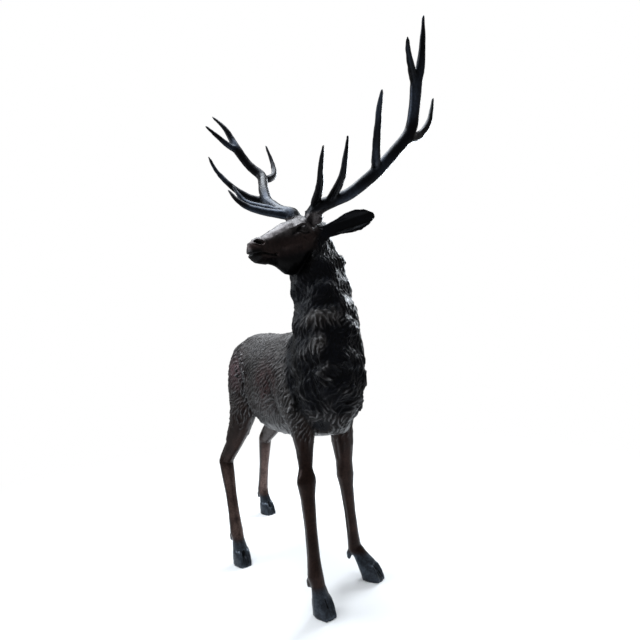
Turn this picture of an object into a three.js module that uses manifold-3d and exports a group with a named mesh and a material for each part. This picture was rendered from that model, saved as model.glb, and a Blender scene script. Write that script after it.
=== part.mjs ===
// Life-size bronze red deer stag, one closed casting. Millimetres, +Z up.
// The stag faces -Y, so +X is its left side; its head is turned to its right.
import * as THREE from 'three';
import { mergeVertices } from 'three/addons/utils/BufferGeometryUtils.js';
import Module from 'manifold-3d';

const wasm = await Module();
wasm.setup();

// Driving dimensions.
const WITHERS = 1196; // ground to the top of the shoulders
const BRISKET = 711; // ground to the lowest point of the chest
const CHEST_WIDTH = 330;
const HEAD_LENGTH = 374; // poll to nose
const HEAD_AT = [-63, -420, 1696]; // the poll, between the antlers
const HEAD_TURN = 73; // degrees to the stag's right
const HEAD_DIP = 13.7; // degrees nose down
const HEAD_LEAN = 1.6; // degrees, left antler down
const HOOF_LENGTH = 122;
const HOOF_WIDTH = 92;
const HOOF_HEIGHT = 68;
const EAR_WIDTH = 98;
const BEAM_RADIUS = 28; // antler beam above the burr
const TIP_RADIUS = 4;
const LOCK_HEIGHT = 11; // how far a lock of the mane stands out at its tip

const BRONZE = new THREE.MeshStandardMaterial({ color: 0x2b2927, roughness: 0.42, metalness: 0.85 });

const LEFT = new THREE.Vector3(1, 0, 0);
const AHEAD = new THREE.Vector3(0, -1, 0);
const UP = new THREE.Vector3(0, 0, 1);
const radians = THREE.MathUtils.degToRad;

const oval = (angle) => [Math.cos(angle), Math.sin(angle)];

// Section axes square to the path: `side` as given, and depth along path x side.
function sectionAxes(tangent, side) {
  const across = side.clone().addScaledVector(tangent, -side.dot(tangent)).normalize();
  const depth = new THREE.Vector3().crossVectors(tangent, across).normalize();
  return [across, depth];
}

// A closed skin over sections strung on a smooth path. A station is
// [x, y, z, half width, half depth ahead, half depth behind]. The section's width points along
// `side`, or turns from `side` to `endSide`, and `bulge` rounds each end by that many millimetres.
// `along` and `relief` shift and raise single points of a ring.
function loft(stations, options) {
  const { around = 12, perSpan = 1, outline = oval, bulge = [0, 0], side = LEFT, endSide = side } = options;
  const rings = options.rings ?? (stations.length - 1) * perSpan + 1;
  const evenly = (_, ring) => ring / (rings - 1);
  const { along = evenly, relief = () => 0, axes = null } = options;
  const centres = new THREE.CatmullRomCurve3(stations.map((s) => new THREE.Vector3(s[0], s[1], s[2])));
  const sizes = stations.map((s) => new THREE.Vector3(s[3], s[4] ?? s[3], s[5] ?? s[4] ?? s[3]));
  const halves = new THREE.CatmullRomCurve3(sizes, false, 'catmullrom');

  const place = (t, turn, out, scale, push) => {
    const tangent = centres.getTangent(t);
    const width = side.clone().lerp(endSide, t).normalize();
    const [across, depth] = axes ?? sectionAxes(tangent, width);
    const half = halves.getPoint(t);
    const [a, d] = outline(2 * Math.PI * turn, t);
    return centres
      .getPoint(t)
      .addScaledVector(tangent, push)
      .addScaledVector(across, (half.x + out) * scale * a)
      .addScaledVector(depth, ((d > 0 ? half.y : half.z) + out) * scale * d);
  };
  const turns = Array.from({ length: around }, (_, i) => i / around);
  const capRing = (t, degrees, length) => {
    const scale = Math.sin(radians(degrees));
    return turns.map((turn) => place(t, turn, 0, scale, Math.cos(radians(degrees)) * length));
  };

  const points = [];
  if (bulge[0] > 0) points.push(...capRing(0, 30, -bulge[0]), ...capRing(0, 62, -bulge[0]));
  for (let ring = 0; ring < rings; ring++) {
    for (const turn of turns) points.push(place(along(turn, ring), turn, relief(turn, ring), 1, 0));
  }
  if (bulge[1] > 0) points.push(...capRing(1, 62, bulge[1]), ...capRing(1, 30, bulge[1]));
  const start = centres.getPoint(0).addScaledVector(centres.getTangent(0), -bulge[0]);
  const end = centres.getPoint(1).addScaledVector(centres.getTangent(1), bulge[1]);
  return skin(points, around, start, end);
}

// Joins rings of points into a closed surface with a pole at each end.
function skin(points, around, start, end) {
  const rings = points.length / around;
  const faces = [];
  for (let r = 0; r + 1 < rings; r++) {
    for (let i = 0; i < around; i++) {
      const j = (i + 1) % around;
      const [a, b, c, d] = [r * around + i, r * around + j, (r + 1) * around + j, (r + 1) * around + i];
      faces.push(a, b, c, a, c, d);
    }
  }
  const last = (rings - 1) * around;
  for (let i = 0; i < around; i++) {
    const j = (i + 1) % around;
    faces.push(points.length, j, i);
    faces.push(points.length + 1, last + i, last + j);
  }
  const geometry = new THREE.BufferGeometry();
  geometry.setFromPoints([...points, start, end]);
  geometry.setIndex(faces);
  return geometry;
}

function solid(geometry) {
  const bare = geometry.clone();
  bare.deleteAttribute('normal');
  bare.deleteAttribute('uv');
  const merged = mergeVertices(bare, 1e-3);
  const vertProperties = new Float32Array(merged.attributes.position.array);
  const triVerts = new Uint32Array(merged.index.array);
  if (enclosedVolume(vertProperties, triVerts) < 0) triVerts.reverse();
  return new wasm.Manifold(new wasm.Mesh({ numProp: 3, vertProperties, triVerts }));
}

function enclosedVolume(positions, triangles) {
  const corner = (i) => new THREE.Vector3().fromArray(positions, triangles[i] * 3);
  let volume = 0;
  for (let i = 0; i < triangles.length; i += 3) {
    volume += corner(i).dot(corner(i + 1).cross(corner(i + 2))) / 6;
  }
  return volume;
}

function joined(geometries) {
  return geometries.map(solid).reduce((whole, piece) => whole.add(piece));
}

// ---- Head frame: x to the stag's left, y ahead along the nose, z up from the poll ----

function headFrame() {
  const turn = radians(HEAD_TURN);
  const dip = radians(HEAD_DIP);
  const flat = new THREE.Vector3(-Math.sin(turn), -Math.cos(turn), 0);
  const left = new THREE.Vector3(Math.cos(turn), -Math.sin(turn), 0);
  const ahead = flat.clone().multiplyScalar(Math.cos(dip)).addScaledVector(UP, -Math.sin(dip));
  const up = UP.clone().multiplyScalar(Math.cos(dip)).addScaledVector(flat, Math.sin(dip));
  const lean = new THREE.Quaternion().setFromAxisAngle(ahead, radians(-HEAD_LEAN));
  return { left: left.applyQuaternion(lean), ahead, up: up.applyQuaternion(lean) };
}

const head = headFrame();

function fromHead([left, ahead, up]) {
  return new THREE.Vector3(...HEAD_AT)
    .addScaledVector(head.left, left)
    .addScaledVector(head.ahead, ahead)
    .addScaledVector(head.up, up)
    .toArray();
}

const onHead = (stations) => stations.map((s) => [...fromHead(s), ...s.slice(3)]);

// ---- Trunk: from the rump forward, with upright sections ----

function trunk() {
  const half = CHEST_WIDTH / 2;
  const stations = [
    // rump, croup, loin, flank, belly, ribs, withers, chest
    [0, 444, 1030, half * 0.32, 50, 90],
    [0, 396, 1018, half * 0.58, 102, 136],
    [0, 312, 1006, half * 0.82, 156, 186],
    [0, 200, 985, half * 1.0, 202, 244],
    [0, 40, 955, half * 1.12, 220, 281],
    [0, -120, 955, half * 1.12, 224, 278],
    [0, -260, 960, half * 1.04, WITHERS - 960, 264],
    [0, -390, 955, half * 0.94, WITHERS - 970, 955 - BRISKET],
    [0, -500, 925, half * 0.7, 180, 165],
  ];
  const barrel = (angle) => [
    Math.sign(Math.cos(angle)) * Math.abs(Math.cos(angle)) ** 0.88,
    Math.sin(angle),
  ];
  return loft(stations, { around: 22, rings: 13, outline: barrel, bulge: [40, 50], axes: [LEFT, UP] });
}

// ---- Neck: from the poll down to the brisket, covered with overlapping locks ----

const LOCK_ROWS = 8;
const LOCKS_AROUND = 9;
const LOCK_RINGS = [0.08, 0.97]; // where the rings cross each row
const RINGS_PER_ROW = LOCK_RINGS.length;

const jitter = (a, b) => Math.sin(12.9 * a + 78.2 * b + 3.7);

// Which lock of a row a place round the neck falls in, and how near its middle (1) or its side (0).
function lockAt(around, row) {
  const place = around * LOCKS_AROUND + (row % 2) * 0.5;
  const index = Math.floor(place) % LOCKS_AROUND;
  return { index, middle: 1 - Math.abs(place - Math.floor(place) - 0.5) * 2 };
}

// Alternate rows are staggered, and each lock hangs down in a point over the row below.
function lockEdge(around, row) {
  const { index, middle } = lockAt(around, row);
  const droop = row < LOCK_ROWS - 1 ? 0.5 + 0.2 * jitter(index, row) : 0;
  return (row + 1 + droop * middle) / LOCK_ROWS;
}

function lockPath(around, ring) {
  const row = Math.floor(ring / RINGS_PER_ROW);
  const down = LOCK_RINGS[ring % RINGS_PER_ROW];
  const top = row > 0 ? lockEdge(around, row - 1) : 0;
  return Math.min(1, top + (lockEdge(around, row) - top) * down);
}

// A lock swells from its root to its tip and drops off under it.
function lockRelief(around, ring) {
  const row = Math.floor(ring / RINGS_PER_ROW);
  const down = LOCK_RINGS[ring % RINGS_PER_ROW];
  const { index, middle } = lockAt(around, row);
  const height = LOCK_HEIGHT * (1 + 0.35 * jitter(row, index)) * Math.min(1, 0.3 + row * 0.3);
  return height * (down * (0.35 + 0.65 * middle) - 0.4);
}

function neck() {
  const stations = [
    [-40, -374, 1650, 78, 74, 62],
    [-31, -386, 1570, 96, 102, 78],
    [-18, -398, 1490, 116, 120, 108],
    [-8, -414, 1400, 124, 128, 132],
    [0, -432, 1300, 130, 138, 148],
    [0, -444, 1190, 142, 156, 162],
    [0, -440, 1080, 156, 178, 190],
    [0, -426, 970, 162, 188, 190],
    [0, -408, 860, 144, 174, 170],
    [0, -400, 775, 98, 128, 128],
  ];
  return loft(stations, {
    around: 4 * LOCKS_AROUND,
    rings: LOCK_ROWS * RINGS_PER_ROW,
    along: lockPath,
    relief: lockRelief,
    side: head.left,
    endSide: LEFT,
    bulge: [20, 50],
  });
}

// ---- Legs ----

// A cloven hoof with its toe towards -Y and its flat soles on z = 0.
function hoof(splay) {
  const claw = (sign) => {
    const x = sign * HOOF_WIDTH * 0.25;
    const wide = HOOF_WIDTH * 0.235;
    const long = HOOF_LENGTH / 2;
    const teardrop = (angle) => {
      const toward = (Math.sin(angle) + 1) / 2;
      return [Math.cos(angle) * (1 - 0.4 * toward ** 2.4), Math.sin(angle)];
    };
    const stations = [
      [x * 0.9, 12, HOOF_HEIGHT, wide * 0.88, long * 0.62, long * 0.46],
      [x, 4, HOOF_HEIGHT * 0.6, wide * 1.02, long * 0.84, long * 0.56],
      [x * 1.02, 0, HOOF_HEIGHT * 0.2, wide * 1.04, long * 0.98, long * 0.62],
      [x * 1.02, 0, 0, wide, long, long * 0.6],
    ];
    const geometry = loft(stations, { around: 10, outline: teardrop, axes: [LEFT, AHEAD] });
    geometry.rotateZ(radians(-sign * splay));
    return geometry;
  };
  return [claw(-1), claw(1)];
}

// Puts a foot where its leg comes down, with its toe turned `heading` degrees to the stag's left.
function foot(at, heading, splay) {
  return hoof(splay).map((geometry) => {
    geometry.rotateZ(radians(heading));
    geometry.translate(at[0], at[1], 0);
    return geometry;
  });
}

// Two dewclaws hang behind the pastern.
function dewclaws(fetlock, heading) {
  return [-1, 1].map((sign) => {
    const stations = [
      [sign * 14, 8, -6, 13, 14],
      [sign * 17, 21, -28, 13, 14],
      [sign * 19, 25, -54, 6, 6],
    ];
    const geometry = loft(stations, { around: 6 });
    geometry.rotateZ(radians(heading));
    geometry.translate(...fetlock);
    return geometry;
  });
}

const along = (a, b, t) => a.map((value, i) => value + (b[i] - value) * t);

// The bones below the knee or hock are alike on all four legs.
function shank(joint, fetlock, hoofAt, heading, girth) {
  const back = radians(heading);
  const coronet = [hoofAt[0] - 14 * Math.sin(back), hoofAt[1] + 14 * Math.cos(back), HOOF_HEIGHT - 5];
  return [
    [...along(joint, fetlock, 0.16), 31 * girth, 32 * girth, 34 * girth],
    [...along(joint, fetlock, 0.5), 25 * girth, 26 * girth, 28 * girth],
    [...along(joint, fetlock, 0.82), 26 * girth, 27, 30],
    [...fetlock, 31, 32, 37],
    [...along(fetlock, coronet, 0.5), 29, 29, 30],
    [...coronet, 36, 36, 32],
    [...along(coronet, hoofAt, 0.4), 30, 30, 24],
  ];
}

function foreleg({ sign, elbow, knee, fetlock, hoofAt, heading, girth }) {
  const stations = [
    [sign * 92, -262, 1070, 46, 62, 62],
    [sign * 122, -312, 950, 58, 98, 84],
    [sign * 124, -350, 840, 60, 92, 86],
    [...elbow, 48, 62, 78],
    [...along(elbow, knee, 0.35), 43 * girth, 52 * girth, 58 * girth],
    [...along(elbow, knee, 0.72), 34 * girth, 39 * girth, 39 * girth],
    [...along(elbow, knee, 0.92), 39, 40, 37],
    [...knee, 41, 40, 37],
    ...shank(knee, fetlock, hoofAt, heading, 1),
  ];
  return [
    loft(stations, { around: 12, bulge: [30, 0] }),
    ...dewclaws(fetlock, heading),
    ...foot(hoofAt, heading, 2),
  ];
}

function hindleg({ sign, stifle, hock, fetlock, hoofAt, heading }) {
  const stations = [
    [sign * 66, 320, 1105, 46, 88, 80],
    [sign * 86, 300, 1030, 70, 126, 112],
    [sign * 102, 272, 930, 75, 140, 128],
    [...stifle, 66, 118, 116],
    [...along(stifle, hock, 0.33), 50, 98, 54],
    [...along(stifle, hock, 0.66), 39, 70, 37],
    [...along(stifle, hock, 0.9), 36, 44, 48],
    [...hock, 37, 40, 47],
    ...shank(hock, fetlock, hoofAt, heading, 1.12),
  ];
  return [
    loft(stations, { around: 12, bulge: [30, 0] }),
    ...dewclaws(fetlock, heading),
    ...foot(hoofAt, heading, 2),
  ];
}

function legs() {
  return [
    ...foreleg({
      sign: -1,
      elbow: [-110, -380, 745],
      knee: [-133, -418, 535],
      fetlock: [-143, -467, 160],
      hoofAt: [-126, -490, 0],
      heading: 2,
      girth: 0.82,
    }),
    ...foreleg({
      sign: 1,
      elbow: [108, -360, 740],
      knee: [125, -341, 500],
      fetlock: [172, -319, 132],
      hoofAt: [208, -391, 0],
      heading: 19,
      girth: 1.08,
    }),
    ...hindleg({
      sign: -1,
      stifle: [-126, 230, 790],
      hock: [-192, 372, 480],
      fetlock: [-216, 214, 150],
      hoofAt: [-218, 150, 0],
      heading: 0,
    }),
    ...hindleg({
      sign: 1,
      stifle: [130, 305, 775],
      hock: [166, 606, 505],
      fetlock: [186, 728, 145],
      hoofAt: [190, 684, 0],
      heading: 6,
    }),
  ];
}

// ---- Head ----

function skull() {
  const stations = onHead([
    [0, -70, -80, 60, 66, 92],
    [0, -20, -82, 72, 86, 118],
    [0, 30, -88, 77, 96, 135],
    [0, 80, -90, 77, 93, 136],
    [0, 130, -86, 67, 84, 144],
    [0, 180, -88, 57, 73, 144],
    [0, 230, -90, 48, 60, 108],
    [0, 280, -97, 41, 51, 68],
    [0, HEAD_LENGTH - 58, -100, 40, 53, 58],
    [0, HEAD_LENGTH - 28, -103, 36, 44, 43],
  ]);
  const cheeks = (angle) => {
    const drop = Math.max(0, -Math.sin(angle));
    return [Math.cos(angle) * (1 - 0.28 * drop ** 1.5), Math.sin(angle)];
  };
  return loft(stations, { around: 18, rings: 16, outline: cheeks, bulge: [40, 22], side: head.left });
}

// Features at [left, ahead, up] from the poll, with their half sizes along the same three ways.
const FACE = {
  brow: { at: [56, 98, -34], half: [20, 34, 14] },
  eye: { at: [57, 103, -52], half: [18, 20, 17] },
  nostril: { at: [36, HEAD_LENGTH - 34, -76], half: [10, 13, 8] },
};

function feature({ at, half }, sign) {
  const geometry = new THREE.SphereGeometry(1, 8, 6);
  const turn = new THREE.Matrix4().makeBasis(head.left, head.up, head.ahead.clone().negate());
  geometry.scale(half[0], half[2], half[1]);
  geometry.applyMatrix4(turn);
  geometry.translate(...fromHead([sign * at[0], at[1], at[2]]));
  return geometry;
}

// The closed mouth is a groove round the muzzle, from one corner to the other.
function mouth() {
  const oneSide = [
    [35, 268, -131],
    [34, 312, -128],
    [27, HEAD_LENGTH - 28, -125],
    [15, HEAD_LENGTH - 11, -123],
  ];
  const otherSide = oneSide.map(([left, ahead, up]) => [-left, ahead, up]).reverse();
  const line = [...oneSide, [0, HEAD_LENGTH - 6, -122], ...otherSide];
  return loft(onHead(line.map((point) => [...point, 3, 6])), { around: 4, side: head.up });
}

// ---- Ears: a leaf curled forward along both edges, rolled into a tube at its root ----

function ear(sign) {
  const base = [sign * 62, -4, -78];
  const tip = [sign * 250, -182, -46];
  const half = EAR_WIDTH / 2;
  const station = (t, wide, thick, lift) => {
    const [x, y, z] = along(base, tip, t);
    return [x, y, z + lift, wide * half, thick];
  };
  const stations = onHead([
    station(0, 0.74, 30, -6),
    station(0.16, 0.6, 20, -3),
    station(0.32, 0.7, 12, 0),
    station(0.5, 0.94, 9, 3),
    station(0.68, 1, 8, 3),
    station(0.84, 0.76, 7, 2),
    station(0.96, 0.3, 5, 0),
  ]);
  const leaf = (angle, t) => {
    const curl = 3 * Math.sin(Math.PI * Math.min(1, t * 0.9)) ** 2;
    return [Math.cos(angle), Math.sin(angle) + sign * curl * (Math.cos(angle) ** 2 - 0.6)];
  };
  return loft(stations, { around: 12, outline: leaf, side: head.up, bulge: [6, 6] });
}

// ---- Antlers: a beam with brow, bez and trez tines, a rear tine and a forked top ----

// Stations run [left, ahead, up, radius] from the poll for the left antler. The right antler
// isn't a mirror of it: the second list says how far [out, ahead, up] its stations stand from that.
const BEAM = [
  [[48, 4, -30, BEAM_RADIUS + 8], [0, 0, -2]],
  [[56, 10, 2, BEAM_RADIUS + 10], [0, 0, -6]],
  [[90, 14, 26, BEAM_RADIUS + 5], [-15, -10, 0]],
  [[131, 9, 36, BEAM_RADIUS], [-15, -10, 5]],
  [[180, -12, 46, BEAM_RADIUS - 3], [-10, -10, 15]],
  [[226, -36, 56, BEAM_RADIUS - 4], [-10, -10, 25]],
  [[282, -74, 88, BEAM_RADIUS - 4], [0, 0, 30]],
  [[339, -117, 130, BEAM_RADIUS - 3], [-5, 0, 40]],
  [[400, -174, 192, BEAM_RADIUS - 5], [-10, -5, 30]],
  [[456, -214, 252, BEAM_RADIUS - 3], [-15, -15, 15]],
  [[491, -212, 333, BEAM_RADIUS - 7], [5, 5, 5]],
  [[526, -192, 418, BEAM_RADIUS - 6], [10, 10, 15]],
  [[555, -184, 465, BEAM_RADIUS - 12], [0, 0, 15]],
  [[583, -169, 533, BEAM_RADIUS - 18], [-5, 0, 15]],
  [[613, -144, 615, TIP_RADIUS], [5, 0, -5]],
];
const TINES = {
  brow: [
    [[80, 18, 20], [0, 0, 0]],
    [[104, 36, 54], [10, 10, -15]],
    [[153, 68, 84], [20, 15, -20]],
    [[203, 106, 122], [20, 15, -25]],
    [[246, 141, 172], [10, 5, -35]],
    [[294, 166, 234], [-5, -15, -50]],
  ],
  bez: [
    [[140, 0, 36], [0, 0, 5]],
    [[172, 8, 58], [10, 10, 10]],
    [[231, 31, 94], [10, 10, 0]],
    [[279, 52, 133], [10, 10, -10]],
    [[314, 69, 184], [5, 0, -20]],
    [[351, 81, 254], [-5, -15, -45]],
  ],
  trez: [
    [[326, -122, 118], [-20, 20, 5]],
    [[345, -98, 150], [10, 10, -15]],
    [[373, -60, 175], [10, 5, -20]],
    [[421, -15, 249], [10, 5, -35]],
    [[470, 21, 330], [10, 5, -30]],
    [[506, 48, 374], [-5, -5, 5]],
  ],
  rear: [
    [[454, -196, 230], [-20, -20, 15]],
    [[458, -250, 234], [-30, -25, 15]],
    [[464, -297, 247], [-30, -25, 25]],
    [[482, -352, 295], [-15, -10, 35]],
    [[490, -404, 387], [15, 25, 50]],
  ],
  fork: [
    [[518, -204, 398], [5, 10, 15]],
    [[530, -166, 442], [5, 5, -10]],
    [[542, -136, 462], [5, 5, -5]],
    [[561, -91, 499], [0, 5, 5]],
    [[584, -52, 538], [-5, 0, 10]],
  ],
};
// The burr is a knobbly ring round the foot of the beam.
const BURR = [
  [50, 3, -14, BEAM_RADIUS + 12],
  [54, 4, -4, BEAM_RADIUS + 13],
];
const pearls = (turn) => 2.5 * Math.sin(12 * Math.PI * turn);

const TINE_RADIUS = { brow: 20, bez: 19, trez: 20, rear: 20, fork: 17 };

function antlerPoint([point, shift], sign) {
  const [x, y, z] = sign > 0 ? point : point.slice(0, 3).map((value, i) => value + shift[i]);
  return [sign * x, y, z];
}

function antler(sign) {
  const beam = BEAM.map((row) => [...antlerPoint(row, sign), row[0][3]]);
  const burr = BURR.map(([x, y, z, radius]) => [sign * x, y, z, radius]);
  const tine = ([name, rows]) => {
    const stations = rows.map((row, i) => {
      const taper = (i / (rows.length - 1)) ** 1.7;
      return [...antlerPoint(row, sign), TINE_RADIUS[name] + (TIP_RADIUS - TINE_RADIUS[name]) * taper];
    });
    return loft(onHead(stations), { around: 7, bulge: [0, 6], side: head.ahead });
  };
  return [
    loft(onHead(beam), { around: 9, bulge: [0, 6], side: head.ahead }),
    loft(onHead(burr), { around: 12, bulge: [4, 4], side: head.ahead, relief: pearls }),
    ...Object.entries(TINES).map(tine),
  ];
}

// ---- Tail ----

function tail() {
  const stations = [
    [0, 430, 1110, 30, 28],
    [0, 474, 1086, 31, 24],
    [0, 500, 1030, 28, 19],
    [0, 506, 970, 16, 11],
  ];
  return loft(stations, { around: 8, perSpan: 2, bulge: [10, 10] });
}

function stagGeometry() {
  const body = joined([
    trunk(),
    neck(),
    ...legs(),
    tail(),
    skull(),
    ...[1, -1].flatMap((sign) => [feature(FACE.brow, sign), feature(FACE.eye, sign)]),
    ear(1),
    ear(-1),
    ...antler(1),
    ...antler(-1),
  ]);
  const hollows = joined([feature(FACE.nostril, 1), feature(FACE.nostril, -1), mouth()]);
  const mesh = body.subtract(hollows).getMesh();
  const geometry = new THREE.BufferGeometry();
  geometry.setAttribute('position', new THREE.BufferAttribute(mesh.vertProperties, 3));
  geometry.setIndex(new THREE.BufferAttribute(mesh.triVerts, 1));
  return geometry;
}

const stag = new THREE.Mesh(stagGeometry(), BRONZE);
stag.name = 'stag';

// The soles stand on z = 0, with the origin under the middle of the whole figure.
stag.geometry.computeBoundingBox();
const middle = stag.geometry.boundingBox.getCenter(new THREE.Vector3());
stag.position.set(-middle.x, -middle.y, 0);

const part = new THREE.Group();
part.add(stag);

export default part;
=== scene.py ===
"""A life-size bronze stag. The casting is smoothed and chased from the plain solid, then patinated."""

import math

import bmesh
import bpy
import numpy as np
from mathutils import Matrix, Vector


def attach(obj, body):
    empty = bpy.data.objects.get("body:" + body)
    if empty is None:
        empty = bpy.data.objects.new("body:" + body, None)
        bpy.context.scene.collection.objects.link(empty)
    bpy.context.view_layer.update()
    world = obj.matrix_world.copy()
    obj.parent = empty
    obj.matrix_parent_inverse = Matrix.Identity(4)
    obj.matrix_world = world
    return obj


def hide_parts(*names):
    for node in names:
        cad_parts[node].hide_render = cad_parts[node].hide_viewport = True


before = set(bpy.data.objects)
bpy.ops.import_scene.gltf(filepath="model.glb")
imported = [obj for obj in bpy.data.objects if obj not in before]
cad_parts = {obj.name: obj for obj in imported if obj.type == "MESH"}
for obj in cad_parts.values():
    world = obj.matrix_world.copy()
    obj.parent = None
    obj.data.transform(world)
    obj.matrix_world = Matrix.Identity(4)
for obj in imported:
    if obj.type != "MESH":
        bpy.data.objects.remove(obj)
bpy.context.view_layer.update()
MM = 0.001
bronze = bpy.data.materials.new("patinated cast bronze")

# ---- The casting ----
# The real stag is cast bronze, its joints welded and chased until it reads as one piece. Its big
# forms come from the solid: a coarse skin smooths the trunk, neck and thighs, and a fine one keeps
# the head, hooves and antlers crisp.
COARSE_PITCH = 9 * MM
FINE_PITCH = 3 * MM
COARSE_ROUNDS = 36
FINE_ROUNDS = 24
SLIM_ROUNDS = 200
# Smoothing draws a form in. These put each part back out again.
COARSE_SWELL = 3.5 * MM
SWELLS_MM = (("antler", 2.2), ("ear", 1.0), ("leg", 1.8), ("head", 0.8))
# More than any distance on the stag, in metres or millimetres.
FAR = 1e9


def object_of(name, data):
    piece = bpy.data.objects.new(name, data)
    bpy.context.scene.collection.objects.link(piece)
    return piece


def evaluated(piece):
    """The mesh that a piece's modifiers make of it. The piece itself is removed."""
    graph = bpy.context.evaluated_depsgraph_get()
    mesh = bpy.data.meshes.new_from_object(piece.evaluated_get(graph))
    bpy.data.objects.remove(piece)
    return mesh


def voxel_skin(mesh, pitch):
    piece = object_of("skin", mesh)
    remesh = piece.modifiers.new("remesh", "REMESH")
    remesh.mode = "VOXEL"
    remesh.voxel_size = pitch
    return evaluated(piece)


def points_of(mesh):
    flat = np.empty(len(mesh.vertices) * 3, np.float32)
    mesh.vertices.foreach_get("co", flat)
    return flat.reshape(-1, 3).astype(float)


def move_points(mesh, points):
    mesh.vertices.foreach_set("co", points.astype(np.float32).ravel())
    mesh.update()


def normals_of(mesh):
    flat = np.empty(len(mesh.vertices) * 3, np.float32)
    mesh.vertices.foreach_get("normal", flat)
    return flat.reshape(-1, 3).astype(float)


def edges_of(mesh):
    flat = np.empty(len(mesh.edges) * 2, np.int32)
    mesh.edges.foreach_get("vertices", flat)
    return flat.reshape(-1, 2)


def neighbour_mean(values, edges, count):
    total = np.empty_like(values)
    for k in range(values.shape[1]):
        total[:, k] = np.bincount(edges[:, 0], values[edges[:, 1], k], len(values))
        total[:, k] += np.bincount(edges[:, 1], values[edges[:, 0], k], len(values))
    return total / count


def eased(points, edges, rounds, pull=0.5):
    """Draws the points towards their neighbours' mean."""
    count = np.bincount(edges.ravel(), minlength=len(points))[:, None]
    for _ in range(rounds):
        points = points + pull * (neighbour_mean(points, edges, count) - points)
    return points


DRAWN_IN, PUT_OUT = 0.6, -0.62


def relaxed(points, edges, share, rounds):
    """Evens out the surface where `share` is above 0, and keeps its girth: each round that draws the
    points to their neighbours' mean is followed by one that puts them back out."""
    near = edges[(share[edges] > 0).any(axis=1)]
    chosen, near = np.unique(near, return_inverse=True)
    near = near.reshape(-1, 2)
    count = np.bincount(near.ravel(), minlength=len(chosen))[:, None]
    some, pulled = points[chosen], share[chosen, None]
    for turn in range(rounds):
        pull = DRAWN_IN if turn % 2 == 0 else PUT_OUT
        some = some + pull * pulled * (neighbour_mean(some, near, count) - some)
    points = points.copy()
    points[chosen] = some
    return points


def ramp(values, low, high):
    """0 up to `low`, 1 from `high` on, and a smooth rise between them."""
    t = np.clip((values - low) / (high - low), 0, 1)
    return t * t * (3 - 2 * t)


# The head's own frame, at the poll: left, ahead along the nose, up.
POLL = Vector((-0.0583, -0.2888, 1.696))
HEAD_TURN = math.radians(73)
HEAD_DIP = math.radians(13.7)
HEAD_LEAN = math.radians(-1.6)
turn_flat = Vector((-math.sin(HEAD_TURN), -math.cos(HEAD_TURN), 0))
HEAD_AHEAD = turn_flat * math.cos(HEAD_DIP) - Vector((0, 0, math.sin(HEAD_DIP)))
lean = Matrix.Rotation(HEAD_LEAN, 3, HEAD_AHEAD)
HEAD_LEFT = lean @ Vector((math.cos(HEAD_TURN), -math.sin(HEAD_TURN), 0))
HEAD_UP = lean @ (Vector((0, 0, math.cos(HEAD_DIP))) + turn_flat * math.sin(HEAD_DIP))
HEAD_AXES = np.array([HEAD_LEFT, HEAD_AHEAD, HEAD_UP])


def on_head(points):
    """Each point's place in the head's frame, in millimetres: left, ahead, up."""
    offset = (points - np.array(POLL)) / MM
    return offset @ HEAD_AXES.T


# The left ear's root and tip in that frame. The right ear is its mirror.
EAR_BASE = np.array([62, -4, -78])
EAR_TIP = np.array([250, -182, -46])
EAR_AXIS = EAR_TIP - EAR_BASE

# The neck's sections from the poll down: height, middle x, middle y, half width, half depth.
NECK = np.array([
    [1.65, -0.035, -0.249, 0.078, 0.068],
    [1.57, -0.026, -0.267, 0.096, 0.090],
    [1.49, -0.013, -0.273, 0.116, 0.114],
    [1.40, -0.003, -0.281, 0.124, 0.130],
    [1.30, 0.005, -0.296, 0.130, 0.143],
    [1.19, 0.005, -0.310, 0.142, 0.159],
    [1.08, 0.005, -0.303, 0.156, 0.184],
    [0.97, 0.005, -0.294, 0.162, 0.189],
    [0.86, 0.005, -0.275, 0.144, 0.172],
    [0.775, 0.005, -0.269, 0.098, 0.128],
    [0.73, 0.005, -0.269, 0.060, 0.080],
])[::-1]


def neck_share(points):
    """How far out a point is from the neck's axis, as a share of the neck's own radius there."""
    x, y, half_x, half_y = (np.interp(points[:, 2], NECK[:, 0], NECK[:, k]) for k in range(1, 5))
    return np.hypot((points[:, 0] - x) / half_x, (points[:, 1] - y) / half_y)


# Where one part gives way to the next: from, to. Heights above the ground are in metres.
LEG_TOP = (0.66, 0.76)
MANE_FOOT = (0.70, 0.74)
TRUNK_TOP = (1.3, 1.35)
HEAD_HEIGHT = (1.40, 1.46)
MANE_GIRTH = (1.08, 1.2)
EAR_ROOT = (0.10, 0.2)
# These are in millimetres, in the head's frame.
ANTLER_ROOT = (8, 20)
EAR_REACH = (62, 70)
THROAT = (-14, 14)


def regions(points):
    """Soft masks, 0 to 1, that say which part of the stag each point is on."""
    left, ahead, up = on_head(points).T
    z = points[:, 2]
    high = ramp(z, *HEAD_HEIGHT)
    antler = high * ramp(up, *ANTLER_ROOT)
    places = np.stack([np.abs(left), ahead, up], 1) - EAR_BASE
    along = places @ EAR_AXIS / (EAR_AXIS @ EAR_AXIS)
    aside = np.linalg.norm(places - along[:, None] * EAR_AXIS, axis=1)
    ear = high * (1 - antler) * ramp(along, *EAR_ROOT) * (1 - ramp(aside, *EAR_REACH))
    throat = -30 - 0.7 * up
    head = high * (1 - antler) * (1 - ear) * ramp(ahead - throat, *THROAT)
    mane = (1 - head) * (1 - ear) * (1 - antler) * (1 - ramp(neck_share(points), *MANE_GIRTH))
    mane *= ramp(z, *MANE_FOOT)
    leg = 1 - ramp(z, *LEG_TOP)
    trunk = (1 - mane) * (1 - leg) * (1 - ramp(z, *TRUNK_TOP))
    return {"antler": antler, "ear": ear, "head": head, "mane": mane, "leg": leg, "trunk": trunk}


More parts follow.
